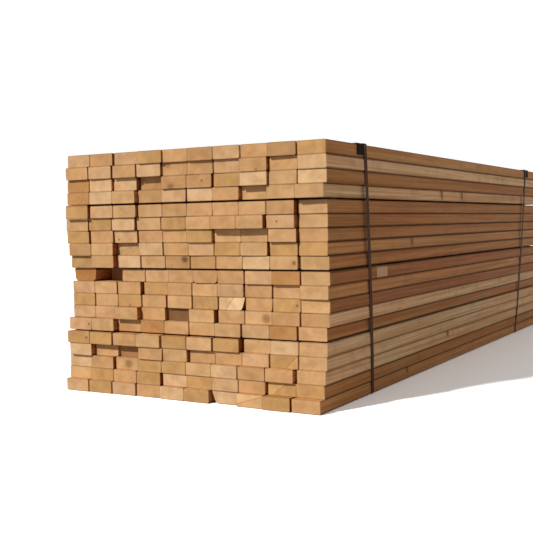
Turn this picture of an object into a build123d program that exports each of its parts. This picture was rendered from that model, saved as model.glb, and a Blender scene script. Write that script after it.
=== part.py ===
from build123d import *
import math
import os

# Strapped bundle of pine studs, lying on a level floor, in millimetres.
# The studs run along Y with their wide faces level. The end at -Y is the uneven, shown one.
# X goes across the bundle and Z is up. The origin is under the middle of the whole bundle.

# Studs, all sawn to one section and one length
stud_thickness = 38.1
stud_width = 88.9
stud_length = 2352.7
eased_edge = 2.4

# Stack
column_count = 10
layer_count = 19
layers_per_group = 5

# Gap over each layer, by group from the bottom one up. The weight presses the lower ones tighter.
group_gaps = [0.2, 0.5, 0.7, 0.9]

# Laths between the groups of layers
lath_thickness = 4.0
lath_width = 40.0
lath_inset = 25.0
lath_from_end = 130.0

# Steel straps and their crimped seals
strap_width = 19.0
strap_thickness = 0.8
strap_gap = 0.3
strap_top_from_end = 262.0
strap_foot_from_end = 358.0
strap_overlap = 150.0
seal_length = 32.0
seal_wall = 0.9
seal_gap = 0.2
seal_from_middle = 210.0
crimp_width = 5.0
crimp_depth = 2.2
crimp_spacing = 14.0

# Edge guards under the straps, along the two top edges
guard_thickness = 2.4
guard_length = 64.0
guard_reach_past_strap = 4.5
guard_leg_down = 31.0
guard_leg_across = 38.0
guard_gap = 0.3

# How far each layer lies to the right of the middle, from the bottom layer up
layer_shifts = [
    -13, -10, -8, -3, -5,
    -6, -1, 1, 0, 5,
    0, -2, -4, -4, 1,
    3, 8, 10, 14,
]

# Gap right of each of the first nine studs of a layer, left to right, from the bottom layer up
side_gaps = [
    (2, 3, 4, 1, 1, 5, 1, 1, 5),
    (1, 2, 3, 6, 1, 1, 1, 6, 1),
    (1, 4, 1, 1, 1, 1, 3, 2, 8),
    (4, 1, 0.5, 0.5, 6, 1, 1, 2, 1),
    (1, 3, 1, 5, 1, 2, 9, 0.5, 1.5),
    (1, 5, 1, 1, 2, 1, 3, 0.5, 2.5),
    (1, 1, 3, 1, 1, 9, 1, 1, 3),
    (3, 1, 4, 4, 2, 3, 1, 1, 3),
    (1, 3, 6, 1, 2, 1, 4, 2, 2),
    (3, 4, 2, 1, 1, 1, 4, 1, 4),
    (1, 3, 4, 2, 2, 2, 1, 1, 6),
    (0.5, 3, 0.5, 4, 1, 0.5, 1, 7, 2.5),
    (6, 1, 4, 1, 1, 4, 1, 5, 3),
    (3, 2, 5, 3, 2, 1, 1, 4, 8),
    (5, 0.5, 5, 1, 0.5, 0.5, 0.5, 1, 7),
    (1, 0.5, 3, 1, 5, 0.5, 2, 1, 1),
    (3, 3, 4, 1, 1, 7, 2, 3, 3),
    (3, 5, 3, 3, 1, 4, 1, 4, 2),
    (1, 8, 1, 1, 1, 1, 1, 1, 1),
]

# How far the end of each stud is set back, left to right, from the bottom layer up
end_setbacks = [
    (4, 7, 10, 14, 9, 9, 22, 8, 2, 5),
    (19, 15, 15, 14, 22, 21, 19, 21, 28, 28),
    (19, 15, 25, 17, 18, 18, 17, 18, 19, 31),
    (8, 27, 35, 13, 17, 27, 28, 29, 34, 37),
    (6, 6, 9, 8, 14, 16, 22, 38, 35, 38),
    (14, 15, 34, 30, 31, 33, 32, 38, 38, 45),
    (32, 33, 17, 35, 48, 32, 43, 45, 45, 48),
    (31, 32, 33, 35, 38, 41, 43, 47, 48, 46),
    (31, 31, 33, 45, 42, 42, 41, 46, 50, 39),
    (34, 105, 46, 46, 43, 39, 38, 40, 39, 41),
    (27, 18, 36, 36, 37, 38, 39, 40, 41, 48),
    (18, 18, 41, 31, 33, 34, 37, 37, 41, 45),
    (17, 20, 26, 30, 31, 27, 38, 38, 32, 45),
    (16, 18, 19, 25, 25, 22, 14, 14, 28, 43),
    (5, 12, 13, 21, 22, 22, 23, 23, 25, 40),
    (7, 8, 8, 23, 20, 21, 20, 33, 20, 18),
    (11, 10, 17, 31, 15, 16, 18, 12, 19, 18),
    (2, 3, 5, 8, 16, 16, 16, 9, 20, 14),
    (3, 4, 6, 2, 8, 6, 7, 11, 8, 13),
]

# Wane, where a stud was sawn so near the bark that the round of the log cuts its corner.
# Each is the log's middle, right of and above the middle of the stud, and the log's radius.
wane_both_low = (0.0, 20.0, 52.0)
wane_large_low_right = (-20.0, 25.0, 66.0)
wane_small_low_right = (-20.0, 25.0, 73.0)
wane_large_low_left = (20.0, 25.0, 65.0)
log_taper = 9.0
wanes = {
    (10, 1): wane_both_low,
    (10, 6): wane_both_low,
    (8, 7): wane_large_low_right,
    (8, 8): wane_small_low_right,
    (1, 7): wane_large_low_left,
}


def cycled(values, place):
    """The value at a place counted from 1, starting again after the last."""
    return values[(place - 1) % len(values)]


def group_of(layer):
    """The group that a layer is in, counted from 1 at the bottom."""
    return (layer - 1) // layers_per_group + 1


def gap_over(layer):
    """Gap between a layer and what lies on it."""
    return cycled(group_gaps, group_of(layer))


def layer_base(layer):
    """Height of a layer's underside. Layer 1 lies on the straps' lower runs."""
    height = strap_thickness + strap_gap
    for lower in range(1, layer):
        height += stud_thickness + gap_over(lower)
        if group_of(lower + 1) > group_of(lower):
            height += lath_thickness + gap_over(lower)
    return height


def gaps_up_to(layer, column):
    """All side gaps of a layer left of a column, added up."""
    return sum(cycled(cycled(side_gaps, layer), left) for left in range(1, column))


def layer_width(layer):
    """Width of a layer over its two outer studs."""
    return column_count * stud_width + gaps_up_to(layer, column_count)


def left_side(layer):
    """Where a layer's left side lies."""
    return cycled(layer_shifts, layer) - layer_width(layer) / 2


def right_side(layer):
    """Where a layer's right side lies."""
    return cycled(layer_shifts, layer) + layer_width(layer) / 2


def sawn_stud():
    """A stud with eased long edges, its near end at Y = 0 and its middle on the Y axis."""
    section = chamfer(Rectangle(stud_width, stud_thickness).vertices(), eased_edge)
    return extrude(Plane.XZ * section, amount=-stud_length)


def waned_stud(across, up, log_radius):
    """A stud sawn from the edge of a log that grows thicker towards the far end."""
    log = Cone(log_radius, log_radius + log_taper, stud_length)
    middle = Pos(across, stud_length / 2, up)
    return sawn_stud() & middle * Rot(-90, 0, 0) * log


def layer_of_studs(layer):
    """The ten studs of a layer, side by side, each with its own end setback."""
    height = layer_base(layer) + stud_thickness / 2
    setbacks = cycled(end_setbacks, layer)
    whole_stud = sawn_stud()
    studs = []
    for column in range(1, column_count + 1):
        middle = left_side(layer) + (column - 0.5) * stud_width + gaps_up_to(layer, column)
        place = Pos(middle, cycled(setbacks, column), height)
        wane = wanes.get((layer, column))
        stud = waned_stud(*wane) if wane else whole_stud
        studs.append(place * stud)
    return studs


def lath(layer_below, from_end):
    """A thin lath across the bundle on top of a layer, with its ends inside both sides."""
    left = max(left_side(layer_below), left_side(layer_below + 1)) + lath_inset
    right = min(right_side(layer_below), right_side(layer_below + 1)) - lath_inset
    height = layer_base(layer_below) + stud_thickness + gap_over(layer_below) + lath_thickness / 2
    return Pos((left + right) / 2, from_end, height) * Box(right - left, lath_width, lath_thickness)


top_of_stack = layer_base(layer_count) + stud_thickness
leg_end = top_of_stack - guard_leg_down
layers_by_guards = [n for n in range(1, layer_count + 1) if layer_base(n) + stud_thickness > leg_end]
guard_face_left = min(map(left_side, layers_by_guards)) - guard_gap - guard_thickness
guard_face_right = max(map(right_side, layers_by_guards)) + guard_gap + guard_thickness
guard_top = top_of_stack + guard_gap + guard_thickness
strap_height = guard_top + strap_thickness + strap_gap


def cross_section():
    """The bundle's section with its guards, each corner drawn in by the eased edge."""
    boxes = Sketch()
    for layer in range(1, layer_count + 1):
        middle = (left_side(layer) + right_side(layer)) / 2
        height = layer_base(layer) + stud_thickness / 2
        inner = Rectangle(layer_width(layer) - 2 * eased_edge, stud_thickness - 2 * eased_edge)
        boxes += Pos(middle, height) * inner
    guard_width = guard_face_right - guard_face_left
    guard_height = guard_leg_down + guard_gap + guard_thickness
    guards = Rectangle(guard_width - 2 * eased_edge, guard_height - 2 * eased_edge)
    guard_middle = (guard_face_left + guard_face_right) / 2
    boxes += Pos(guard_middle, guard_top - guard_height / 2) * guards
    return boxes


def strap_ring():
    """Outline of a strap pulled tight round the section, as a flat ring."""
    tight = make_hull(cross_section().edges())
    inside = offset(tight, eased_edge + strap_gap)
    outside = offset(tight, eased_edge + strap_gap + strap_thickness)
    return outside - inside


def strap(top_from_end, foot_from_end):
    """A strap whose side runs slant from its top run to its lower run."""
    slant = math.atan2(foot_from_end - top_from_end, strap_height)
    middle_from_end = (top_from_end + foot_from_end) / 2
    reach = abs(foot_from_end - top_from_end) + 4 * strap_width
    tube = Pos(0, middle_from_end + reach / 2, 0) * extrude(Plane.XZ * strap_ring(), amount=reach)
    span = 2 * (guard_face_right - guard_face_left)
    band = Box(span, strap_width * math.cos(slant), 2 * strap_height)
    slanted = Pos(0, middle_from_end, strap_height / 2) * Rot(math.degrees(slant), 0, 0) * band
    tail = Box(strap_overlap, strap_width, strap_thickness)
    tail_height = strap_height + strap_thickness / 2
    return (tube & slanted) + Pos(seal_from_middle, top_from_end, tail_height) * tail


def seal(from_end):
    """A sleeve crimped round the two plies of a strap, with two notches in each side."""
    plies = 2 * strap_thickness + 2 * seal_gap
    slot_width = strap_width + 2 * seal_gap
    sleeve = Box(seal_length, slot_width + 2 * seal_wall, plies + 2 * seal_wall)
    sleeve -= Box(seal_length, slot_width, plies)
    for side in (-1, 1):
        for along in (-crimp_spacing / 2, crimp_spacing / 2):
            edge = side * (slot_width / 2 + seal_wall)
            notch = Box(crimp_width, 2 * (seal_wall - seal_gap), crimp_depth)
            sleeve -= Pos(along, edge, plies / 2 + seal_wall) * notch
    return Pos(seal_from_middle, from_end, strap_height) * sleeve


def guard(side, top_from_end, towards_end):
    """An angle folded over a top edge. Side is -1 at the left and 1 at the right."""
    face = guard_face_right if side > 0 else guard_face_left
    across = guard_leg_across + guard_gap + guard_thickness
    down = guard_leg_down + guard_gap + guard_thickness
    outer = Pos(face - side * across / 2, guard_top - down / 2) * Rectangle(across, down)
    shift = Pos(-side * guard_thickness, -guard_thickness)
    angle = outer - shift * outer
    bends = angle.vertices().filter_by(lambda v: abs(v.X - face) < across / 2 and v.Y > guard_top - down / 2)
    angle = fillet(bends, eased_edge)
    middle = top_from_end + towards_end * (guard_length / 2 - guard_reach_past_strap - strap_width / 2)
    return Pos(0, middle + guard_length / 2, 0) * extrude(Plane.XZ * angle, amount=guard_length)


def all_pieces():
    """Every sub-part by its name, before the bundle is centred."""
    pieces = {}
    for layer in range(1, layer_count + 1):
        pieces[f"layer_{layer:02d}"] = layer_of_studs(layer)
    far_top = stud_length - strap_top_from_end
    far_foot = stud_length - strap_foot_from_end
    lath_places = {
        "near": lath_from_end,
        "middle": stud_length / 2,
        "far": stud_length - lath_from_end,
    }
    layers_under_laths = range(layers_per_group, layer_count, layers_per_group)
    for level, layer in enumerate(layers_under_laths, start=1):
        for place, from_end in lath_places.items():
            pieces[f"lath_{level}_{place}"] = [lath(layer, from_end)]
    straps = {
        "near": (strap_top_from_end, strap_foot_from_end, -1),
        "far": (far_top, far_foot, 1),
    }
    for place, (top, foot, towards_end) in straps.items():
        pieces[f"strap_{place}"] = [strap(top, foot)]
        pieces[f"seal_{place}"] = [seal(top)]
        pieces[f"guard_{place}_left"] = [guard(-1, top, towards_end)]
        pieces[f"guard_{place}_right"] = [guard(1, top, towards_end)]
    return pieces


os.makedirs("parts", exist_ok=True)
pieces = all_pieces()
everything = Compound(children=[solid for group in pieces.values() for part in group for solid in part.solids()])
box = everything.bounding_box()
centred = Pos(-box.center().X, -box.center().Y, -box.min.Z)
for name, group in pieces.items():
    solids = [centred * solid for part in group for solid in part.solids()]
    shape = solids[0] if len(solids) == 1 else Compound(children=solids)
    export_step(shape, f"parts/{name}.step")
print("size", box.size.X, box.size.Y, box.size.Z)
print("moved by", -box.center().X, -box.center().Y, -box.min.Z)
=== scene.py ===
import math

import bpy
import numpy as np
from mathutils import Matrix, Vector


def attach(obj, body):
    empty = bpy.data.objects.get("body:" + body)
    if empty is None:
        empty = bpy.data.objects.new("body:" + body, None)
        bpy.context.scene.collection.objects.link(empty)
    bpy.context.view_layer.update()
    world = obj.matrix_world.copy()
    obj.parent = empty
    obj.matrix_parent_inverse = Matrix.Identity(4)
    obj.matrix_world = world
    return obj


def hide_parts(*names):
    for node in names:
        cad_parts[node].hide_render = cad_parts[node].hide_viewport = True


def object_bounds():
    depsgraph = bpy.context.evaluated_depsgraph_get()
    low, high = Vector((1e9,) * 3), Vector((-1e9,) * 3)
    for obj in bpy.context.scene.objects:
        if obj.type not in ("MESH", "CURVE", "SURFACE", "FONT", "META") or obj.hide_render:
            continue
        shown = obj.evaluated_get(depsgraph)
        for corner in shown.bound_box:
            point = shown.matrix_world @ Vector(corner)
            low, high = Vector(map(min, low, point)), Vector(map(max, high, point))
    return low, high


# A strapped bundle of planed pine studs, dressed in metres round the fixed frame.
# Studs run along Y, X goes across, Z is up, and the uneven ends are at -Y.
# A stud is named by its layer, counted from the bottom, and its column, counted from the left.

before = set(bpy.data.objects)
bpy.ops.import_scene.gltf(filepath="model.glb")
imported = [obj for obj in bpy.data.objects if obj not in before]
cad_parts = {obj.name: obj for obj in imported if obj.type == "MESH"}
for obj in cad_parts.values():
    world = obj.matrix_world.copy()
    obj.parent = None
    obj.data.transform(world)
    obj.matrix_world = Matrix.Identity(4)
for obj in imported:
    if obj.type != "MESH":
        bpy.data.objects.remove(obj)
cad_low, cad_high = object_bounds()

MM = 0.001
SEED = 9000

# A stud's shape: the least and most rounding of its long edges, what it loses as it dries and how
# that is spread, the steps round a corner and across a waned face, and its sideways crook
EASED_EDGES = (2.6 * MM, 5.0 * MM)
SHRINKAGE = 0.3 * MM
SHRINKAGE_SPREAD = (1.2, 3.0)
CORNER_STEPS = 3
WANED_STEPS = 9
CROOK = 0.5 * MM
SHARP_ABOVE_DEGREES = 40.0

# The saw cut at the ends: its tilt, and the burr that closes most of a narrow gap beside it
END_CUT_TILT = 0.7 * MM
BURR_REACH = 9.0 * MM
BURR_CLOSES = 0.8
WIDEST_BURRED_GAP = 1.6 * MM

# Near ends that sag, and near ends whose top swells into the gap above, with their shares at each
# station along the stud
SAGGING_ENDS = {(layer, 1): 1.8 * MM for layer in range(11, 16)}
SWOLLEN_ENDS = {(15, 1), (10, 1)}
SWOLLEN_TO = 80.0 * MM
STRAIGHT_FROM = 106.0 * MM
SAG_SHARES = (1.0, 0.92, 0.25, 0.0, 0.0, 0.0, 0.0)
SWELL_SHARES = (0.5, 0.93, 0.93, 0.0, 0.0, 0.0, 0.0)
STATIONS = len(SAG_SHARES)

# Log circles that cut a stud's corner: their middle in the stud's own section and their radius
WANES = {
    (10, 1): (0.0, 20.0 * MM, 52.0 * MM),
    (10, 6): (0.0, 20.0 * MM, 52.0 * MM),
    (8, 7): (-20.0 * MM, 25.0 * MM, 66.0 * MM),
    (8, 8): (-20.0 * MM, 25.0 * MM, 73.0 * MM),
    (1, 7): (20.0 * MM, 25.0 * MM, 65.0 * MM),
}
LOG_TAPER = 9.0 * MM

# Camera, set by the photograph's lines, in its own pixels
PHOTO_SIDE = 533
FOCAL_PIXELS = 902.0
SENSOR = 36.0
CAMERA_RIGHT = 1.545
CAMERA_BEFORE_END = 2.164
CAMERA_HEIGHT = 0.526
CAMERA_YAW = -30.24
CAMERA_PITCH = -2.77
CAMERA_ROLL = -1.0

# Sun, sky and floor. The camera sees the sky and the floor at their own strengths.
SUN_STRENGTH = 3.2
SUN_TRAVEL = (0.42, 1.0, -0.85)
SUN_SPREAD_DEGREES = 3.0
SKY_STRENGTH = 0.42
SKY_SEEN = 1.0
FLOOR_WHITE = 0.35
FLOOR_SEEN = 1.5
FLOOR_REACH = 40.0

# Tones of the wood, as sRGB shares, how often each is drawn, and how much lighter or darker it gets
PINE_TONES = {
    "cream": (0.820, 0.668, 0.495),
    "straw": (0.787, 0.618, 0.430),
    "tan": (0.768, 0.588, 0.402),
    "golden": (0.745, 0.575, 0.368),
    "orange": (0.720, 0.525, 0.325),
    "dusky": (0.725, 0.550, 0.370),
    "pinkish": (0.785, 0.618, 0.447),
    "olive": (0.725, 0.560, 0.370),
}
END_TONE_SHARES = {"cream": 0.10, "straw": 0.38, "tan": 0.34, "golden": 0.10, "pinkish": 0.08}
SIDE_TONES = {
    "light": (0.945, 0.752, 0.560),
    "tan": (0.830, 0.588, 0.365),
    "brown": (0.745, 0.500, 0.285),
    "ruddy": (0.700, 0.440, 0.248),
}
SIDE_TONE_SHARES = {"light": 0.28, "tan": 0.32, "brown": 0.20, "ruddy": 0.20}
DRAWN_TONE_RANGE = (0.93, 1.07)
SEEN_TONE_RANGE = (0.97, 1.03)

# Inside the stack narrow faces get painted shade, a darker tone; those of the stud beside the pocket
# of the stud pushed in get painted light, a slightly lighter one. Wide faces lie part of the way
# from the tone of the side to that of the end.
INNER_SIDE_PAINTED_SHADE = (0.66, 0.43, 0.29)
POCKET_STUD = (10, 1)
POCKET_PAINTED_LIGHT = (1.15, 1.0, 0.95)
WIDE_FACE_LIFT = 0.5
SIDEWAYS_FROM = 0.5
WIDE_BELOW = 0.3

# Studs whose end or outer flank stands out
END_TONES_SEEN = {
    "orange": [(17, 1), (16, 1), (10, 9), (6, 9), (6, 4)],
    "dusky": [(19, 6), (19, 9), (17, 4), (17, 5), (17, 6), (11, 5)],
    "cream": [(18, 4), (18, 10), (17, 2), (17, 8), (17, 10), (16, 6),
              (14, 3), (12, 4), (4, 1), (3, 1), (1, 5), (1, 7)],
    "pinkish": [(19, 1), (19, 3), (18, 2), (15, 2), (14, 9), (10, 8),
                (9, 1), (7, 1), (6, 8), (6, 1), (1, 3)],
    "golden": [(12, 9), (12, 10), (8, 1), (5, 1), (5, 2), (4, 9), (3, 4),
               (2, 4), (2, 2), (2, 9), (2, 10), (1, 2), (19, 4)],
    "olive": [(16, 4), (11, 1), (11, 6)],
}
# Ends with a fixed tone. On (10, 2), at the back of the pocket, the darker tone is painted shade, and on
# (4, 3) it is the painted shadow of the layer above; (7, 5) is evenly dark brown, (10, 1) a darker
# orange-brown.
FIXED_END_TONES_WITH_PAINTED_SHADE = {
    (7, 5): (0.49, 0.35, 0.22),
    (10, 2): (0.74, 0.53, 0.38),
    (4, 3): (0.66, 0.48, 0.32),
    (10, 1): (0.670, 0.470, 0.270),
}
RIGHT_FLANK_TONES = [
    "tan", "brown", "light", "light", "light",
    "brown", "light", "ruddy", "tan", "ruddy",
    "brown", "tan", "brown", "brown", "brown",
    "light", "brown", "light", "tan",
]

# Knots seen on ends: how far right of and above the middle, as shares of half the section, the
# radius, and how dark it is
END_KNOTS = {
    (18, 8): (0.25, -0.80, 3.0 * MM, 0.60),
    # on (18, 5) a soft dark patch at the upper left of the end, drawn the same way as a knot
    (18, 5): (-0.60, 0.85, 9.0 * MM, 0.42),
    (17, 5): (-0.20, -0.90, 10.0 * MM, 0.55),
    (17, 6): (0.25, 0.05, 2.6 * MM, 0.65),
    (14, 9): (-0.25, 0.00, 2.6 * MM, 0.65),
    (13, 3): (-0.60, -0.50, 2.8 * MM, 0.60),
    (12, 3): (0.05, 0.20, 2.0 * MM, 0.60),
    (11, 5): (0.62, 0.55, 10.0 * MM, 0.80),
    (11, 9): (0.75, 0.00, 5.0 * MM, 0.60),
    (8, 3): (0.00, -0.75, 3.0 * MM, 0.60),
    (8, 9): (0.75, 0.00, 3.0 * MM, 0.60),
    (7, 8): (0.60, 0.00, 11.0 * MM, 0.42),
    (6, 1): (0.80, 0.00, 3.2 * MM, 0.65),
    (5, 1): (0.75, 0.00, 3.6 * MM, 0.60),
    (3, 3): (0.10, 0.00, 11.0 * MM, 0.42),
}
NO_END_KNOT = (0.0, 0.0, 0.0, 0.0)

# Ends with a paler corner: the direction to it, across and up, and how far off the middle it starts
PALE_CORNERS = {
    (8, 7): (0.78, -0.62, -5.5 * MM),
    (4, 9): (0.71, -0.71, 16.8 * MM),
    (1, 8): (-0.30, 0.95, 2.0 * MM),
    (2, 9): (-0.62, 0.78, 4.0 * MM),
}
NO_PALE_CORNER = (0.0, 0.0, 1.0)

# Knots seen on the right flank, by layer: how far from the near end, their height as a share, and
# the radius
FLANK_KNOTS = {
    16: [(0.951, 0.25, 15.0 * MM), (1.179, 0.20, 15.0 * MM)],
    12: [(0.632, 0.30, 13.0 * MM)],
    1: [(0.643, 0.60, 11.0 * MM)],
    3: [(1.015, 0.70, 13.0 * MM)],
}
MOST_FLANK_KNOTS = 2
NO_FLANK_KNOT = (0.0, 0.0, 0.0)

# A pale patch on the right flank, by layer: from where to where along it
PALE_PATCHES = {10: (0.324, 0.404)}
NO_PALE_PATCH = (0.0, 0.0)

# Where the pith lies from the middle of an end, across and up, for studs whose rings are plain to see
PITHS_SEEN = {
    (11, 10): (-30.0 * MM, -24.0 * MM),
    (10, 5): (4.0 * MM, -34.0 * MM),
    (9, 5): (2.0 * MM, -26.0 * MM),
    (6, 1): (62.0 * MM, 4.0 * MM),
    (6, 2): (-60.0 * MM, 4.0 * MM),
    (4, 4): (12.0 * MM, -8.0 * MM),
    (8, 7): (-40.0 * MM, -40.0 * MM),
}

# What is drawn for each stud: how many millimetres off its pith lies and how far it slants in a
# metre, where along the log it was cut, how wide its rings are, and how strong their late wood is
PITH_AWAY = (18.0, 95.0)
PITH_SLANT = 9.0
LOG_SHIFT = 50.0
RING_WIDTH = (2.6, 6.5)
LATE_WOOD_STRENGTH = (0.35, 1.0)

# Noises of the pine: repeats a metre, one for all or one for each way, then detail and roughness
PINE_NOISES = {
    "wander": ((9.0, 9.0, 0.9), 2.0, 0.50),
    "ragged": (160.0, 2.0, 0.55),
    "fibre": ((420.0, 420.0, 9.0), 4.0, 0.60),
    "streak": ((75.0, 75.0, 0.9), 3.0, 0.65),
    "speck": (900.0, 2.0, 0.70),
    "smudge": (14.0, 4.0, 0.60),
    "zone": ((45.0, 1.4, 3.0), 3.0, 0.55),
    "patch": (30.0, 3.0, 0.60),
    "drift": ((5.0, 5.0, 1.6), 2.0, 0.50),
    "shine": (24.0, 2.0, 0.50),
    "saw_mark": ((700.0, 45.0, 1.0), 2.0, 0.50),
}

# From where to where a value of the pine takes effect, and what it gives at the two
PINE_RANGES = {
    "knot_chance": (0.88, 0.91, 0.0, 9.0 * MM),
    "knot": (1.55, 0.95),
    "knot_halo": (3.4, 0.8),
    "end_knot": (2.0, 0.70),
    "end_halo": (2.6, 0.8),
    "late_stop": (1.0, 0.965),
    "drift": (0.38, 0.62),
    "shine": (0.34, 0.66, 0.90, 1.07),
    "corner": (0.0, 1.5 * MM),
    "corner_line": (2.2 * MM, 0.0),
    "blotch": (0.43, 0.64, 0.0, 0.62),
    "streak": (0.40, 0.66, 0.0, 0.85),
    "fibre": (0.30, 0.75, 0.0, 0.25),
    "smudge": (0.50, 0.78, 0.0, 0.30),
    "pore": (0.45, 0.75, 0.0, 0.30),
    # a dark rim of painted shade round each end, and inside it a pale band of painted highlight
    "rim": (0.0, 3.0 * MM, 0.45, 0.0),
    "highlight_inside": (1.5 * MM, 3.5 * MM),
    "highlight_outside": (9.0 * MM, 4.0 * MM),
    # partly dust, partly painted shade on the eased long edges
    "dust_and_shade": (1.8 * MM, 6.2 * MM, 1.0, 0.0),
    "dust_and_shade_strength": (0.0, 0.8, 0.30, 0.95),
    "roughness": (0.2, 0.8, 0.56, 0.72),
}

# Rings and knots of the pine. Branches leave the pith in cells over the turn and the length. A
# distance along the stud counts for less than one across it, so knots are longer than wide.
RING_WANDER = 22.0 * MM
LATE_WOOD_FROM = 0.42
LATE_WOOD_VARIES = 0.25
LATE_WOOD_FULL = 0.96
KNOT_SWIRL = 2.2
KNOT_TURN_PACE = 1.6
KNOT_ALONG_PACE = 3.4
ALONG_COUNTS_FOR = 0.7
SMALLEST_KNOT = 0.4 * MM
SMALLEST_SEEN_KNOT = 0.1 * MM
KNOT_RAGGEDNESS = 0.5
FLANK_KNOT_LENGTH = 1.1
FLANK_KNOT_HEIGHT = 0.9
FLANK_KNOT_BEND = 4.0 * MM
FLANK_KNOT_BEND_PACE = 70.0

# How much of each mark shows on the pine
ZONE_IN_BLOTCH = 0.68
PATCH_IN_BLOTCH = 0.32
LATE_WOOD_ON_SIDE = 0.62
LATE_WOOD_LESS_ON_END = -0.26
CORNER_LINE_DEPTH = 0.45
PALE_PATCH_SHARE = 0.80
PALE_PATCH_EDGE = 2.0 * MM
HALO_DEPTH = 0.35
KNOT_DEPTH = 0.74
# how much of the painted highlight shows in the pale band inside each end's rim
EDGE_HIGHLIGHT_SHARE = 0.35
SHINE_APART = (7.0, 3.0, 0.0)

# Tints that multiply the pine's tone, and colours of the marks on it, in linear values
UNCHANGED = (1.0, 1.0, 1.0)
DRIFTED = (0.93, 1.03, 1.06)
LATE_WOOD = (0.66, 0.50, 0.36)
EARLY_WOOD = (1.04, 1.05, 1.07)
WARM_ZONE = (0.88, 0.79, 0.66)
PALER_CORNER = (1.14, 1.17, 1.22)
SMUDGE_BROWN = (0.20, 0.11, 0.055)
KNOT_BROWN = (0.16, 0.068, 0.028)
END_KNOT_BROWN = (0.085, 0.035, 0.015)
# painted shade on each end's rim; the same brown draws the line of a pale corner
RIM_SHADE_AND_CORNER_LINE_BROWN = (0.20, 0.085, 0.032)
# partly dust, partly painted shade in the grooves along the eased long edges
DUST_AND_SHADE_BROWN = (0.095, 0.032, 0.008)

# The pale patch's own tone, as sRGB shares
PALE_PATCH_TONE = (0.86, 0.68, 0.51)

# Relief and gloss of the pine, the relief as depth and strength
SAW_MARK_HEIGHT = 0.6
FIBRE_HEIGHT = 0.5
PINE_RELIEF = (0.22 * MM, 0.8)
END_ROUGHER = 0.2
PINE_GLOSS = 0.08

# Laths, straps with their seals, and guards: noises, ranges and reliefs as above, colours as sRGB
# shares
MIDDLING = (0.3, 0.7)
LATH_FIBRE = ((6.0, 300.0, 300.0), 4.0, 0.65)
LATH_PALE = (0.60, 0.45, 0.30)
LATH_DARK = (0.42, 0.29, 0.18)
LATH_RELIEF = (0.5 * MM, 0.8)
LATH_ROUGHNESS = 0.85
STRAP_SCUFFS = (90.0, 5.0, 0.70)
STRAP_PATCHES = (14.0, 3.0, 0.60)
STRAP_WORN = (0.50, 0.75, 0.0, 0.6)
STRAP_RUSTED = (0.50, 0.70, 0.0, 0.6)
STRAP_ROUGHNESS = (0.3, 0.7, 0.55, 0.75)
STRAP_WAX = (0.27, 0.175, 0.115)
STRAP_SCUFFED = (0.38, 0.275, 0.20)
STRAP_RUST = (0.34, 0.20, 0.12)
STRAP_RELIEF = (0.2 * MM, 0.5)
STRAP_GLOSS = 0.06
GUARD_MOTTLE = (120.0, 4.0, 0.65)
GUARD_DARK = (0.070, 0.055, 0.045)
GUARD_PALE = (0.125, 0.100, 0.080)
GUARD_RELIEF = (0.3 * MM, 0.6)
GUARD_ROUGHNESS = 0.85
GUARD_GLOSS = 0.05


def srgb(colour):
    """Linear values of an sRGB colour.

    They are c / 12.92 up to 0.04045, and ((c + 0.055) / 1.055) to the power of 2.4 above."""
    values = np.asarray(colour, float)
    return np.where(values <= 0.04045, values / 12.92, ((values + 0.055) / 1.055) ** 2.4)


def read_points(mesh):
    """The places of a mesh's points as rows of three."""
    flat = np.zeros(len(mesh.vertices) * 3, np.float32)
    mesh.vertices.foreach_get("co", flat)
    return flat.reshape(-1, 3).astype(float)


def solids_of(node):
    """Points of each separate solid of a CAD node, from left to right.

    Points that lie together are one. Each triangle hands the lowest label among its three points to
    all of them, and this is repeated until no label changes."""
    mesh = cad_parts[node].data
    points = read_points(mesh)
    corners = np.zeros(len(mesh.loops), np.int32)
    mesh.loops.foreach_get("vertex_index", corners)
    unique, place = np.unique(np.round(points, 6), axis=0, return_inverse=True)
    triangles = place.reshape(-1)[corners].reshape(-1, 3)
    label = np.arange(len(unique))
    while True:
        spread = label.copy()
        np.minimum.at(spread, triangles, label[triangles].min(1)[:, None])
        if (spread == label).all():
            break
        label = spread
    solids = [unique[label == value] for value in np.unique(label)]
    return sorted(solids, key=lambda solid: solid[:, 0].min())


def underside_over(layer):
    """The height of the lowest point of the next layer up, or none over the top layer."""
    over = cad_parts.get(f"layer_{layer + 1:02d}")
    return read_points(over.data)[:, 2].min() if over else None


def new_piece(name, points, quads):
    """A mesh object of four-sided faces, smooth but for edges that turn by more than an angle."""
    mesh = bpy.data.meshes.new(name)
    mesh.vertices.add(len(points))
    mesh.vertices.foreach_set("co", np.ascontiguousarray(points, np.float32).ravel())
    mesh.loops.add(quads.size)
    mesh.loops.foreach_set("vertex_index", np.ascontiguousarray(quads, np.int32).ravel())
    mesh.polygons.add(len(quads))
    mesh.polygons.foreach_set("loop_start", np.arange(0, quads.size, 4, dtype=np.int32))
    mesh.polygons.foreach_set("use_smooth", np.ones(len(quads), bool))
    mesh.update(calc_edges=True)
    mesh.validate()
    mesh.set_sharp_from_angle(angle=math.radians(SHARP_ABOVE_DEGREES))
    piece = bpy.data.objects.new(name, mesh)
    bpy.context.scene.collection.objects.link(piece)
    return piece


def store(piece, name, values, domain):
    """Puts an array on a mesh as a named attribute: one column a number, three a place, four a colour."""
    columns = values.shape[1] if values.ndim > 1 else 1
    kinds = {1: ("FLOAT", "value"), 3: ("FLOAT_VECTOR", "vector"), 4: ("FLOAT_COLOR", "color")}
    kind, field = kinds[columns]
    attribute = piece.data.attributes.new(name, kind, domain)
    attribute.data.foreach_set(field, np.ascontiguousarray(values, np.float32).ravel())


def grid_quads(rows, columns):
    """Faces of a grid of points in rows, each row a closed loop.

    A face joins a point, the next one in its row, and the two at the same places in the next row."""
    row = np.arange(rows - 1)[:, None] * columns
    step = np.arange(columns)[None, :]
    following = (step + 1) % columns
    quads = np.stack([row + step, row + following, row + columns + following, row + columns + step], -1)
    return quads.reshape(-1, 4)


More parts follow.
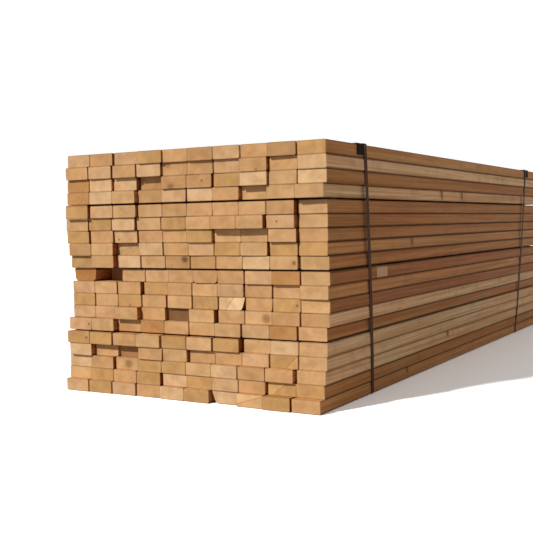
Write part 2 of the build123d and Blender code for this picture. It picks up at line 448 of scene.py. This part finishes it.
def rounded_outline(half_width, half_height, radius, wide_steps):
    """Points of a rounded rectangle, anticlockwise from the upper end of its right flat.

    Each corner is a quarter circle about a point drawn in by the radius. The wide flats get
    further points between their ends where something is going to bend them."""
    turn = np.linspace(0, math.pi / 2, CORNER_STEPS + 1)
    arc = np.stack([np.cos(turn), np.sin(turn)], -1) * radius
    inner_x, inner_z = half_width - radius, half_height - radius
    right_corner = arc + (inner_x, inner_z)
    left_corner = arc[::-1] * (-1, 1) + (-inner_x, inner_z)
    across = np.linspace(inner_x, -inner_x, wide_steps + 2)[1:-1]
    top = np.stack([across, np.full(wide_steps, half_height)], -1)
    upper = np.concatenate([right_corner, top, left_corner])
    return np.concatenate([upper, upper[::-1] * (1, -1)])


def stud_quads(count):
    """Faces of a stud, and how many of them are on its long surface.

    The long surface comes first, then each end as strips between its upper and lower edge."""
    sides = grid_quads(STATIONS, count)[:, ::-1]
    step = np.arange(count // 2 - 1)
    near = np.stack([step, step + 1, count - 2 - step, count - 1 - step], -1)
    far = near[:, ::-1] + (STATIONS - 1) * count
    return np.concatenate([sides, near, far]), len(sides)


def cut_by_log(section, along, wane):
    """Draws a section's points in to the log's surface.

    A point farther from the log's middle than the log's radius moves straight towards the middle
    until it lies on the surface. The radius grows evenly from the near end to the far end."""
    middle = np.array(wane[:2])
    radius = wane[2] + LOG_TAPER * along
    away = section - middle
    distance = np.linalg.norm(away, axis=-1, keepdims=True)
    return middle + away * np.minimum(1.0, radius / distance)


def burr(gap):
    """How far the saw's burr reaches into the gap beside it: most of a narrow gap, none of a wide one."""
    return gap * BURR_CLOSES if 0 < gap < WIDEST_BURRED_GAP else 0.0


def near_end_bend(section, sag, swell):
    """How far each point of a stud moves up: down by its sag, but its upper side up by its swelling."""
    lowered = -sag * np.array(SAG_SHARES)[:, None]
    lifted = swell * np.array(SWELL_SHARES)[:, None] if swell else lowered
    return np.where(section[..., 1] > 0, lifted, lowered)


def stud_points(stud, low, high, gap_right, gap_above, rng):
    """Points of one stud between two corners of its box, and how many points its outline has.

    Its underside stays and its thickness shrinks a little as it dries. The outline is repeated at
    stations along the stud, whose middle wanders sideways by a half sine. The last millimetres
    flare into the gaps beside and above, where the saw leaves a burr. Each end is pushed in by a
    slight tilt of the saw, more towards one of its sides."""
    half_width = (high[0] - low[0]) / 2
    half_height = (high[2] - low[2]) / 2
    middle = (low + high) / 2
    length = high[1] - low[1]
    wane = WANES.get(stud)
    thinner = SHRINKAGE * rng.beta(*SHRINKAGE_SPREAD)
    rounding = rng.uniform(*EASED_EDGES)
    outline = rounded_outline(half_width, half_height - thinner / 2, rounding, WANED_STEPS if wane else 0)
    outline = outline - (0, thinner / 2)
    reach = BURR_REACH / length
    share = np.array([0, reach, SWOLLEN_TO / length, STRAIGHT_FROM / length, 0.5, 1 - reach, 1])
    section = np.repeat(outline[None], STATIONS, 0)
    if wane:
        section = cut_by_log(section, share[:, None, None], wane)
    crook = rng.uniform(-1, 1) * CROOK * np.sin(math.pi * share)
    tilt = rng.uniform(-1, 1, (2, 2)) * END_CUT_TILT
    rows = np.zeros((STATIONS, len(outline), 3))
    rows[..., 0] = section[..., 0] + crook[:, None]
    rows[..., 1] = share[:, None] * length
    rows[..., 2] = section[..., 1]
    ends = [0, -1]
    rows[ends, :, 0] += np.where(section[ends, :, 0] > 0, burr(gap_right), 0)
    if burr(gap_above):
        rows[ends, :, 2] += np.where(section[ends, :, 1] > 0, thinner + burr(gap_above), 0)
    swell = gap_above if stud in SWOLLEN_ENDS else 0.0
    rows[..., 2] += near_end_bend(section, SAGGING_ENDS.get(stud, 0.0), swell)
    for station, inward, (tilt_across, tilt_up) in zip(ends, (1, -1), tilt):
        across = np.clip(rows[station, :, 0] / half_width, -1, 1)
        up = np.clip(rows[station, :, 2] / half_height, -1, 1)
        deepest = abs(tilt_across) + abs(tilt_up)
        rows[station, :, 1] += inward * (deepest + across * tilt_across + up * tilt_up)
    return rows.reshape(-1, 3) + (middle[0], low[1], middle[2]), len(outline)


def drawn_tone(tones, shares, rng):
    """One of the named tones by its share, slightly lighter or darker, in linear values."""
    name = rng.choice(list(shares), p=np.array(list(shares.values())) / sum(shares.values()))
    return srgb(tones[name]) * rng.uniform(*DRAWN_TONE_RANGE)


def end_tone_of(stud, rng):
    """The tone of a stud's ends: a fixed one, on some studs painted shade, the one seen on it, or a drawn
    one.
    """
    drawn = drawn_tone(PINE_TONES, END_TONE_SHARES, rng)
    if stud in FIXED_END_TONES_WITH_PAINTED_SHADE:
        return srgb(FIXED_END_TONES_WITH_PAINTED_SHADE[stud])
    for name, studs in END_TONES_SEEN.items():
        if stud in studs:
            return srgb(PINE_TONES[name]) * rng.uniform(*SEEN_TONE_RANGE)
    return drawn


def side_tone_of(layer, on_flank, rng):
    """The tone of a stud's long faces: the one seen on the right flank, or a drawn one."""
    drawn = drawn_tone(SIDE_TONES, SIDE_TONE_SHARES, rng)
    if on_flank:
        seen = RIGHT_FLANK_TONES[(layer - 1) % len(RIGHT_FLANK_TONES)]
        return srgb(SIDE_TONES[seen]) * rng.uniform(*SEEN_TONE_RANGE)
    return drawn


def face_tones(points, quads, is_end, stud, on_flank, rng):
    """A tone for each face of a stud: the end's, the side's, or one with painted shade inside the stack.

    A face's way is the cross product of its diagonals. It is narrow where it points mostly
    sideways and wide where it hardly does. Narrow faces get painted shade unless they're outside the
    stack, and painted light instead on the stud beside the pocket."""
    layer, column = stud
    end_tone = end_tone_of(stud, rng)
    side_tone = side_tone_of(layer, on_flank, rng)
    # painted shade for the narrow faces inside the stack, painted light for those beside the pocket
    painted_shading = POCKET_PAINTED_LIGHT if stud == POCKET_STUD else INNER_SIDE_PAINTED_SHADE
    one, other = points[quads[:, 2]] - points[quads[:, 0]], points[quads[:, 3]] - points[quads[:, 1]]
    normal = np.cross(one, other)
    sideways = normal[:, 0] / np.linalg.norm(normal, axis=1)
    outer = (on_flank & (sideways > SIDEWAYS_FROM)) | ((column == 1) & (sideways < -SIDEWAYS_FROM))
    inner = ~is_end & ~outer & (np.abs(sideways) > SIDEWAYS_FROM)
    wide = ~is_end & (np.abs(sideways) < WIDE_BELOW)
    tones = np.where(is_end[:, None], end_tone, side_tone)
    tones = np.where(wide[:, None], side_tone + (end_tone - side_tone) * WIDE_FACE_LIFT, tones)
    return np.where(inner[:, None], tones * np.array(painted_shading), tones)


def log_places(points, centre, seen, rng):
    """Where each point lay in its log, from the pith outwards, with the length as the third axis.

    The pith lies a drawn way off the stud unless it was seen, and runs at a slight slant to it."""
    away = rng.uniform(*PITH_AWAY) * MM
    turn = rng.uniform(0, 2 * math.pi)
    pith = seen or (away * math.cos(turn), away * math.sin(turn))
    slant = rng.uniform(-PITH_SLANT, PITH_SLANT, 2) * MM
    offset = points - centre
    along = offset[:, 1] + rng.uniform(0, LOG_SHIFT)
    from_end = offset[:, 1] - offset[:, 1].min()
    x = offset[:, 0] - pith[0] + slant[0] * from_end
    z = offset[:, 2] - pith[1] + slant[1] * from_end
    return np.stack([x, z, along], -1)


def seen_marks(stud, on_flank, half):
    """The marks of a stud that its material reads, each the same over the whole stud.

    Places given as shares are multiplied by half the section. Only studs away from the right flank
    have drawn knots, and only those on it have its pale patch and its knots."""
    layer = stud[0]
    across, up, radius, depth = END_KNOTS.get(stud, NO_END_KNOT)
    patch = PALE_PATCHES.get(layer, NO_PALE_PATCH) if on_flank else NO_PALE_PATCH
    marks = {
        "end_knot": (across * half[0], up * half[2], radius),
        "end_knot_depth": depth,
        "pale_corner": PALE_CORNERS.get(stud, NO_PALE_CORNER),
        "flank_marks": (float(not on_flank), *patch),
    }
    knots = FLANK_KNOTS.get(layer, []) if on_flank else []
    for number in range(MOST_FLANK_KNOTS):
        from_end, up, radius = knots[number] if number < len(knots) else NO_FLANK_KNOT
        marks[f"flank_knot_{number}"] = (from_end, up * half[2], radius)
    return marks


def build_layer(layer, material):
    """All studs of a layer as one piece, with their finishes as attributes."""
    rng = np.random.default_rng(SEED + layer)
    solids = solids_of(f"layer_{layer:02d}")
    over = underside_over(layer)
    all_points, all_quads, all_ends, all_tones, all_marks = [], [], [], [], {}
    start = 0
    for column, solid in enumerate(solids, start=1):
        stud = (layer, column)
        on_flank = column == len(solids)
        low, high = solid.min(0), solid.max(0)
        centre, half = (low + high) / 2, (high - low) / 2
        gap_right = 0.0 if on_flank else solids[column][:, 0].min() - high[0]
        gap_above = 0.0 if over is None else over - high[2]
        points, outline_count = stud_points(stud, low, high, gap_right, gap_above, rng)
        quads, side_count = stud_quads(outline_count)
        is_end = np.arange(len(quads)) >= side_count
        tones = face_tones(points, quads, is_end, stud, on_flank, rng)
        kind = (rng.uniform(*RING_WIDTH) * MM, rng.uniform(*LATE_WOOD_STRENGTH), rng.uniform(0, 1))
        places = {
            "log_place": log_places(points, centre, PITHS_SEEN.get(stud), rng),
            "stud_place": points - (centre[0], low[1], centre[2]),
        }
        marks = {"stud_kind": kind, **seen_marks(stud, on_flank, half)}
        spread = {name: np.repeat([value], len(points), 0) for name, value in marks.items()}
        for name, values in {**places, **spread}.items():
            all_marks.setdefault(name, []).append(values)
        all_points.append(points)
        all_quads.append(quads + start)
        all_ends.append(is_end)
        all_tones.append(np.repeat(np.column_stack([tones, np.ones(len(quads))]), 4, 0))
        start += len(points)
    piece = new_piece(f"studs_{layer:02d}", np.concatenate(all_points), np.concatenate(all_quads))
    for name, values in all_marks.items():
        store(piece, name, np.concatenate(values), "POINT")
    store(piece, "stud_tone", np.concatenate(all_tones), "CORNER")
    store(piece, "end_grain", np.concatenate(all_ends), "FACE")
    piece.modifiers.new("flat_faces", "WEIGHTED_NORMAL").keep_sharp = True
    piece.data.materials.append(material)
    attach(piece, "root")
    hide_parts(f"layer_{layer:02d}")


class Nodes:
    """The nodes of a material or a world. Each method adds one or a few and gives their result."""

    def __init__(self, owner):
        owner.use_nodes = True
        self.owner = owner
        self.tree = owner.node_tree
        self.tree.nodes.clear()

    def add(self, kind, inputs=(), output=0, **settings):
        """One node: sockets given are linked, other values are set on its own sockets."""
        node = self.tree.nodes.new(kind)
        for key, value in settings.items():
            setattr(node, key, value)
        for key, value in dict(inputs).items():
            socket = node.inputs[key]
            if isinstance(value, bpy.types.NodeSocket):
                self.tree.links.new(value, socket)
            elif socket.type == "RGBA":
                socket.default_value = (*value[:3], 1.0)
            else:
                socket.default_value = value
        return node.outputs[output] if node.outputs else node

    def attribute(self, name, output="Vector"):
        return self.add("ShaderNodeAttribute", attribute_name=name, output=output)

    def object_place(self):
        return self.add("ShaderNodeTexCoord", output="Object")

    def math(self, operation, first, second=0.0, third=0.0):
        return self.add("ShaderNodeMath", {0: first, 1: second, 2: third}, operation=operation)

    def times(self, first, second):
        return self.math("MULTIPLY", first, second)

    def length(self, first, second):
        """How long the slanted line over two legs is: the root of the sum of their squares."""
        return self.math("SQRT", self.math("ADD", self.times(first, first), self.times(second, second)))

    def vector(self, operation, first, second):
        return self.add("ShaderNodeVectorMath", {0: first, 1: second}, operation=operation)

    def split(self, vector):
        return tuple(self.add("ShaderNodeSeparateXYZ", {0: vector}).node.outputs)

    def join(self, x, y, z):
        return self.add("ShaderNodeCombineXYZ", {0: x, 1: y, 2: z})

    def noise(self, place, pace, detail, roughness, output=0):
        """Smooth noise, its pace the repeats a metre: one for all ways, or one for each of the three."""
        if isinstance(pace, tuple):
            place, pace = self.vector("MULTIPLY", place, pace), 1.0
        inputs = {"Vector": place, "Scale": pace, "Detail": detail, "Roughness": roughness}
        return self.add("ShaderNodeTexNoise", inputs, output=output)

    def smooth(self, value, low, high, out_low=0.0, out_high=1.0):
        """Turns smoothly from one result to another as a value goes from low to high."""
        inputs = {0: value, 1: low, 2: high, 3: out_low, 4: out_high}
        return self.add("ShaderNodeMapRange", inputs, interpolation_type="SMOOTHSTEP")

    def mix(self, share, first, second, blend="MIX"):
        """A share of the second colour over the first."""
        inputs = {0: share, 6: first, 7: second}
        return self.add("ShaderNodeMix", inputs, output=2, data_type="RGBA", blend_type=blend)

    def tint(self, tone, by):
        """A tone multiplied by another colour."""
        return self.mix(1.0, tone, by, "MULTIPLY")

    def bump(self, height, depth, strength):
        return self.add("ShaderNodeBump", {"Height": height, "Distance": depth, "Strength": strength})

    def seen(self):
        """1 for rays from the camera, straight or by gloss or glass, and 0 for those that light."""
        path = self.add("ShaderNodeLightPath").node.outputs
        mirrored = self.math("MAXIMUM", path["Is Glossy Ray"], path["Is Transmission Ray"])
        return self.math("MAXIMUM", path["Is Camera Ray"], mirrored)

    def surface(self, **inputs):
        """Ends a material with a Principled shader, constants straight on its sockets."""
        named = {key.replace("_", " "): value for key, value in inputs.items()}
        shader = self.add("ShaderNodeBsdfPrincipled", named)
        self.add("ShaderNodeOutputMaterial", {0: shader})
        return self.owner


def new_finish(name):
    """A material without nodes yet."""
    return Nodes(bpy.data.materials.new(name))


def ring_place(pine, place):
    """How far a point lies from the pith, and its turn about it.

    A slow noise first moves the point by a few millimetres, so that rings aren't true circles."""
    x, z, _ = pine.split(place)
    slow = pine.noise(place, *PINE_NOISES["wander"], output=1)
    wander_x, wander_z, _ = pine.split(pine.vector("SUBTRACT", slow, (0.5, 0.5, 0.5)))
    wavy_x = pine.math("MULTIPLY_ADD", wander_x, RING_WANDER, x)
    wavy_z = pine.math("MULTIPLY_ADD", wander_z, RING_WANDER, z)
    return pine.length(wavy_x, wavy_z), pine.math("ARCTAN2", z, x)


def drawn_knots(pine, radius, turn, along, share):
    """The distance to the nearest knot of a long face, counted in the knot's radius.

    Cells lie over the turn about the pith and the length, and some hold a branch in their middle."""
    cell_place = pine.join(pine.times(turn, KNOT_TURN_PACE), pine.times(along, KNOT_ALONG_PACE), 0.0)
    inputs = {"Vector": cell_place, "Scale": 1.0}
    cells = pine.add("ShaderNodeTexVoronoi", inputs, voronoi_dimensions="2D").node.outputs
    chance, _, _ = pine.split(cells["Color"])
    off_turn, off_along, _ = pine.split(pine.vector("SUBTRACT", cells["Position"], cell_place))
    sideways = pine.times(pine.times(off_turn, 1 / KNOT_TURN_PACE), radius)
    lengthwise = pine.times(off_along, ALONG_COUNTS_FOR / KNOT_ALONG_PACE)
    size = pine.times(pine.smooth(chance, *PINE_RANGES["knot_chance"]), share)
    return pine.math("DIVIDE", pine.length(sideways, lengthwise), pine.math("MAXIMUM", size, SMALLEST_KNOT))


def seen_flank_knot(pine, number, from_end, up):
    """The distance to a knot seen on the right flank, counted in its radius.

    The knot is a little higher than long, and bends along the stud by a sine of the height."""
    knot_from_end, knot_up, radius = pine.split(pine.attribute(f"flank_knot_{number}"))
    lengthwise = pine.times(pine.math("SUBTRACT", from_end, knot_from_end), FLANK_KNOT_LENGTH)
    bend = pine.times(pine.math("SINE", pine.times(up, FLANK_KNOT_BEND_PACE)), FLANK_KNOT_BEND)
    rise = pine.times(pine.math("SUBTRACT", up, knot_up), FLANK_KNOT_HEIGHT)
    away = pine.length(pine.math("ADD", lengthwise, bend), rise)
    return pine.math("DIVIDE", away, pine.math("MAXIMUM", radius, SMALLEST_SEEN_KNOT))


def seen_end_knot(pine, across, up):
    """The distance to the knot seen on an end, counted in its radius."""
    knot_across, knot_up, radius = pine.split(pine.attribute("end_knot"))
    away = pine.length(pine.math("SUBTRACT", across, knot_across), pine.math("SUBTRACT", up, knot_up))
    return pine.math("DIVIDE", away, pine.math("MAXIMUM", radius, SMALLEST_SEEN_KNOT))


def late_wood(pine, rings, strength):
    """How much late wood there is: in each ring it sets in slowly, at a drawn place, and stops sharply."""
    phase = pine.math("FRACT", rings)
    year = pine.add("ShaderNodeTexWhiteNoise", {"W": pine.math("FLOOR", rings)}, noise_dimensions="1D")
    start = pine.math("MULTIPLY_ADD", year, LATE_WOOD_VARIES, LATE_WOOD_FROM)
    rise = pine.smooth(phase, start, LATE_WOOD_FULL)
    stop = pine.smooth(phase, *PINE_RANGES["late_stop"])
    return pine.times(pine.times(rise, stop), strength)


def pale_corner(pine, tone, across, up, end):
    """A tone that is paler past a straight line across an end, and dark on the line itself.

    The way past the line is the point's place along the corner's direction, less where it starts."""
    way_across, way_up, start = pine.split(pine.attribute("pale_corner"))
    towards = pine.math("MULTIPLY_ADD", across, way_across, pine.times(up, way_up))
    past = pine.math("SUBTRACT", towards, start)
    in_corner = pine.times(pine.smooth(past, *PINE_RANGES["corner"]), end)
    paler = pine.mix(in_corner, tone, pine.tint(tone, PALER_CORNER))
    on_line = pine.times(pine.smooth(pine.math("ABSOLUTE", past), *PINE_RANGES["corner_line"]), end)
    return pine.mix(pine.times(on_line, CORNER_LINE_DEPTH), paler, RIM_SHADE_AND_CORNER_LINE_BROWN)


def pine_finish(half_width, half_height):
    """Planed pine: rings round the pith, knots along radial branches, fibres, and sawn end grain."""
    pine = new_finish("planed_pine")
    place = pine.attribute("log_place")
    x, z, along = pine.split(place)
    across, from_end, up = pine.split(pine.attribute("stud_place"))
    ring_width, strength, chance = pine.split(pine.attribute("stud_kind"))
    free_knots, patch_start, patch_end = pine.split(pine.attribute("flank_marks"))
    end = pine.attribute("end_grain", "Fac")
    side = pine.math("SUBTRACT", 1.0, end)
    radius, turn = ring_place(pine, place)
    noises = {name: pine.noise(place, *PINE_NOISES[name])
              for name in ("ragged", "fibre", "streak", "speck", "smudge", "patch", "drift")}
    noises["zone"] = pine.noise(pine.join(radius, turn, along), *PINE_NOISES["zone"])
    noises["shine"] = pine.noise(pine.vector("ADD", place, SHINE_APART), *PINE_NOISES["shine"])
    noises["saw_mark"] = pine.noise(pine.join(x, z, chance), *PINE_NOISES["saw_mark"])

    def ranged(value, name):
        return pine.smooth(value, *PINE_RANGES[name])

    # knots with ragged rims and wide halos, on the long faces and on the ends
    ragged = pine.times(noises["ragged"], KNOT_RAGGEDNESS)
    knot_ratio = drawn_knots(pine, radius, turn, along, free_knots)
    for number in range(MOST_FLANK_KNOTS):
        knot_ratio = pine.math("MINIMUM", knot_ratio, seen_flank_knot(pine, number, from_end, up))
    knot = pine.times(ranged(pine.math("ADD", knot_ratio, ragged), "knot"), side)
    knot_halo = pine.times(ranged(knot_ratio, "knot_halo"), side)
    end_ratio = seen_end_knot(pine, across, up)
    end_knot = pine.times(ranged(pine.math("ADD", end_ratio, ragged), "end_knot"), end)
    end_halo = pine.times(ranged(end_ratio, "end_halo"), end)
    halo = pine.math("ADD", knot_halo, end_halo)

    # rings, which swirl round the knots
    rings = pine.math("MULTIPLY_ADD", halo, KNOT_SWIRL, pine.math("DIVIDE", radius, ring_width))
    late = late_wood(pine, rings, strength)

    # the stud's tone drifts along it, shines here and there on the ends, and pales past a line
    drifting = pine.mix(pine.times(ranged(noises["drift"], "drift"), side), UNCHANGED, DRIFTED)
    tone = pine.tint(pine.attribute("stud_tone", "Color"), drifting)
    late_colour = pine.tint(tone, LATE_WOOD)
    shine = ranged(noises["shine"], "shine")
    tone = pine.mix(end, tone, pine.tint(tone, pine.join(shine, shine, shine)))
    tone = pale_corner(pine, tone, across, up, end)
    early_colour = pine.tint(tone, EARLY_WOOD)
    warm_colour = pine.tint(tone, WARM_ZONE)

    # wood: rings, warm blotches, streaks and fibres along it, smudges, and pores on the ends
    late_share = pine.times(late, pine.math("MULTIPLY_ADD", end, LATE_WOOD_LESS_ON_END, LATE_WOOD_ON_SIDE))
    colour = pine.mix(late_share, early_colour, late_colour)
    zones = pine.times(noises["zone"], ZONE_IN_BLOTCH)
    patches = pine.times(noises["patch"], PATCH_IN_BLOTCH)
    colour = pine.mix(ranged(pine.math("ADD", zones, patches), "blotch"), colour, warm_colour)
    colour = pine.mix(pine.times(ranged(noises["streak"], "streak"), side), colour, late_colour)
    colour = pine.mix(pine.times(ranged(noises["fibre"], "fibre"), side), colour, late_colour)
    colour = pine.mix(pine.times(ranged(noises["smudge"], "smudge"), side), colour, SMUDGE_BROWN)
    colour = pine.mix(pine.times(ranged(noises["speck"], "pore"), end), colour, late_colour)

    # the pale patch, and the knots over it
    before = pine.math("SUBTRACT", patch_start, PALE_PATCH_EDGE)
    beyond = pine.math("ADD", patch_end, PALE_PATCH_EDGE)
    after_start = pine.smooth(from_end, before, patch_start)
    in_patch = pine.times(after_start, pine.smooth(from_end, beyond, patch_end))
    patch_share = pine.times(pine.times(in_patch, side), PALE_PATCH_SHARE)
    colour = pine.mix(patch_share, colour, srgb(PALE_PATCH_TONE))
    colour = pine.mix(pine.times(halo, HALO_DEPTH), colour, late_colour)
    colour = pine.mix(pine.times(knot, KNOT_DEPTH), colour, KNOT_BROWN)
    end_knot_share = pine.times(end_knot, pine.attribute("end_knot_depth", "Fac"))
    colour = pine.mix(end_knot_share, colour, END_KNOT_BROWN)

    # painted shade: a dark rim round each end; painted highlight: a pale band just inside it
    to_flank = pine.math("SUBTRACT", half_width, pine.math("ABSOLUTE", across))
    to_face = pine.math("SUBTRACT", half_height, pine.math("ABSOLUTE", up))
    to_rim = pine.math("MINIMUM", to_flank, to_face)
    edge_highlight = pine.times(ranged(to_rim, "highlight_inside"), ranged(to_rim, "highlight_outside"))
    colour = pine.mix(pine.times(pine.times(edge_highlight, end), EDGE_HIGHLIGHT_SHARE), colour, early_colour)
    colour = pine.mix(pine.times(ranged(to_rim, "rim"), end), colour, RIM_SHADE_AND_CORNER_LINE_BROWN)

    # dust and painted shade darken the eased long edges, where the grooves between studs lie, on some
    # studs more than on others
    dust_and_shade = pine.times(ranged(pine.math("ADD", to_flank, to_face), "dust_and_shade"), ranged(chance, "dust_and_shade_strength"))
    colour = pine.mix(pine.times(dust_and_shade, side), colour, DUST_AND_SHADE_BROWN)

    # saw marks on the ends, fine ridges on the planed faces
    end_height = pine.math("MULTIPLY_ADD", noises["saw_mark"], SAW_MARK_HEIGHT, noises["speck"])
    side_height = pine.math("MULTIPLY_ADD", noises["fibre"], FIBRE_HEIGHT, late)
    height = pine.add("ShaderNodeMix", {0: end, 2: side_height, 3: end_height})
    rough = pine.math("MULTIPLY_ADD", end, END_ROUGHER, ranged(noises["fibre"], "roughness"))
    normal = pine.bump(height, *PINE_RELIEF)
    return pine.surface(Base_Color=colour, Roughness=rough, Normal=normal, Specular_IOR_Level=PINE_GLOSS)


def lath_finish():
    """Rough sawn thin softwood: furry fibres along X, between a pale and a dark tone."""
    lath = new_finish("sawn_lath")
    fibre = lath.noise(lath.object_place(), *LATH_FIBRE)
    colour = lath.mix(lath.smooth(fibre, *MIDDLING), srgb(LATH_PALE), srgb(LATH_DARK))
    return lath.surface(Base_Color=colour, Roughness=LATH_ROUGHNESS, Normal=lath.bump(fibre, *LATH_RELIEF))


def strap_finish():
    """Dark waxed steel band: fine scuffs wear the wax pale, and wide patches rust a little."""
    steel = new_finish("waxed_steel_band")
    place = steel.object_place()
    scuff = steel.noise(place, *STRAP_SCUFFS)
    patch = steel.noise(place, *STRAP_PATCHES)
    worn = steel.mix(steel.smooth(scuff, *STRAP_WORN), srgb(STRAP_WAX), srgb(STRAP_SCUFFED))
    colour = steel.mix(steel.smooth(patch, *STRAP_RUSTED), worn, srgb(STRAP_RUST))
    rough = steel.smooth(scuff, *STRAP_ROUGHNESS)
    normal = steel.bump(scuff, *STRAP_RELIEF)
    return steel.surface(Base_Color=colour, Specular_IOR_Level=STRAP_GLOSS, Roughness=rough, Normal=normal)


def guard_finish():
    """Dark fibrous plastic of the edge guards: a fine mottle between two dark tones."""
    fibre = new_finish("guard_plastic")
    mottle = fibre.noise(fibre.object_place(), *GUARD_MOTTLE)
    colour = fibre.mix(fibre.smooth(mottle, *MIDDLING), srgb(GUARD_DARK), srgb(GUARD_PALE))
    normal = fibre.bump(mottle, *GUARD_RELIEF)
    return fibre.surface(
        Base_Color=colour, Roughness=GUARD_ROUGHNESS, Specular_IOR_Level=GUARD_GLOSS, Normal=normal)


def dress_node(node, material):
    """Gives a CAD node that keeps its shape a finish."""
    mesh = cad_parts[node].data
    mesh.materials.clear()
    mesh.materials.append(material)


def place_camera(low):
    """The photograph's camera, whose focal length is in pixels of the photograph's side.

    Yaw turns it about the upright, pitch tips it, and roll turns its right and up about its view."""
    yaw, pitch, roll = (math.radians(angle) for angle in (CAMERA_YAW, CAMERA_PITCH, CAMERA_ROLL))
    forward = Vector((math.sin(yaw) * math.cos(pitch), math.cos(yaw) * math.cos(pitch), math.sin(pitch)))
    level = Vector((math.cos(yaw), -math.sin(yaw), 0))
    upright = level.cross(forward)
    right = level * math.cos(roll) + upright * math.sin(roll)
    up = upright * math.cos(roll) - level * math.sin(roll)
    data = bpy.data.cameras.new("photo_camera")
    data.sensor_width = SENSOR
    data.lens = FOCAL_PIXELS / PHOTO_SIDE * SENSOR
    camera = bpy.data.objects.new("photo_camera", data)
    turn = Matrix((right, up, -forward)).transposed().to_4x4()
    place = (CAMERA_RIGHT, low.y - CAMERA_BEFORE_END, CAMERA_HEIGHT)
    camera.matrix_world = Matrix.Translation(place) @ turn
    bpy.context.scene.collection.objects.link(camera)
    bpy.context.scene.camera = camera


def light_scene():
    """A low sun from the front left, and an even sky that the camera sees as white."""
    sun = bpy.data.lights.new("sun", "SUN")
    sun.energy = SUN_STRENGTH
    sun.angle = math.radians(SUN_SPREAD_DEGREES)
    lamp = bpy.data.objects.new("sun", sun)
    lamp.rotation_euler = Vector(SUN_TRAVEL).to_track_quat("-Z", "Y").to_euler()
    bpy.context.scene.collection.objects.link(lamp)
    world = bpy.data.worlds.new("sky")
    bpy.context.scene.world = world
    sky = Nodes(world)
    strength = sky.add("ShaderNodeMapRange", {0: sky.seen(), 3: SKY_STRENGTH, 4: SKY_SEEN})
    background = sky.add("ShaderNodeBackground", {"Color": (1.0, 1.0, 1.0), "Strength": strength})
    sky.add("ShaderNodeOutputWorld", {0: background})


def lay_floor():
    """A wide pale floor. Camera rays see it white where nothing shades it."""
    unit = np.array([(-1, -1, 0), (1, -1, 0), (1, 1, 0), (-1, 1, 0)], float)
    floor = new_piece("floor", unit * FLOOR_REACH, np.array([[0, 1, 2, 3]]))
    paint = new_finish("pale_floor")
    share = paint.add("ShaderNodeMapRange", {0: paint.seen(), 3: FLOOR_WHITE, 4: FLOOR_SEEN})
    diffuse = paint.add("ShaderNodeBsdfDiffuse", {"Color": paint.join(share, share, share)})
    paint.add("ShaderNodeOutputMaterial", {0: diffuse})
    floor.data.materials.append(paint.owner)


place_camera(cad_low)
light_scene()
lay_floor()
layer_nodes = sorted(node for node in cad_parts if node.startswith("layer_"))
whole_stud = solids_of(layer_nodes[-1])[0]
stud_half = (whole_stud.max(0) - whole_stud.min(0)) / 2
pine = pine_finish(stud_half[0], stud_half[2])
for number in range(1, len(layer_nodes) + 1):
    build_layer(number, pine)
finishes = {"lath": lath_finish(), "strap": strap_finish(), "seal": strap_finish(), "guard": guard_finish()}
for node in sorted(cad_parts):
    finish = finishes.get(node.split("_")[0])
    if finish:
        dress_node(node, finish)

bpy.context.scene.view_settings.view_transform = "Standard"
